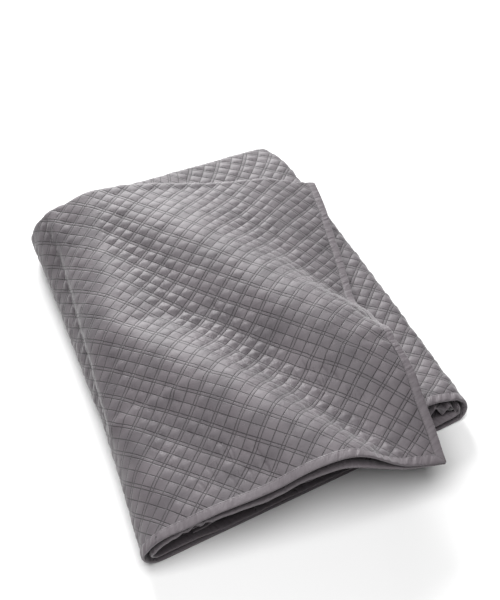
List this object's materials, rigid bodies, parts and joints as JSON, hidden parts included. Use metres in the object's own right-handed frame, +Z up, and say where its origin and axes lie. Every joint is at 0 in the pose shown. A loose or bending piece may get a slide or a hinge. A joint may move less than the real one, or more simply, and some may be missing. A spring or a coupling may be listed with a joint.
{
  "type": "quilted bedspread",
  "caption": "Folded quilted bedspread in grey sateen, diamond stitched with plain bound edges, its top flap lying in loose waves over the layers below.",
  "frame": {"origin": "centre of the bounding box's underside, on the surface that the folded spread lies on", "axes": "+X along the folded front edges to the right fold, +Y from the front edges to the far fold, +Z up"},
  "size_m": [0.8138, 1.1608, 0.2174],
  "materials": {
    "quilted_sateen": "quilted satin weave",
    "plain_sateen": "plain satin weave"
  },
  "bodies": {
    "root": {"quilted_panel": "quilted_sateen", "binding_front": "plain_sateen", "binding_under": "plain_sateen", "binding_flap": "plain_sateen", "binding_tail": "plain_sateen"}
  },
  "joints": []
}
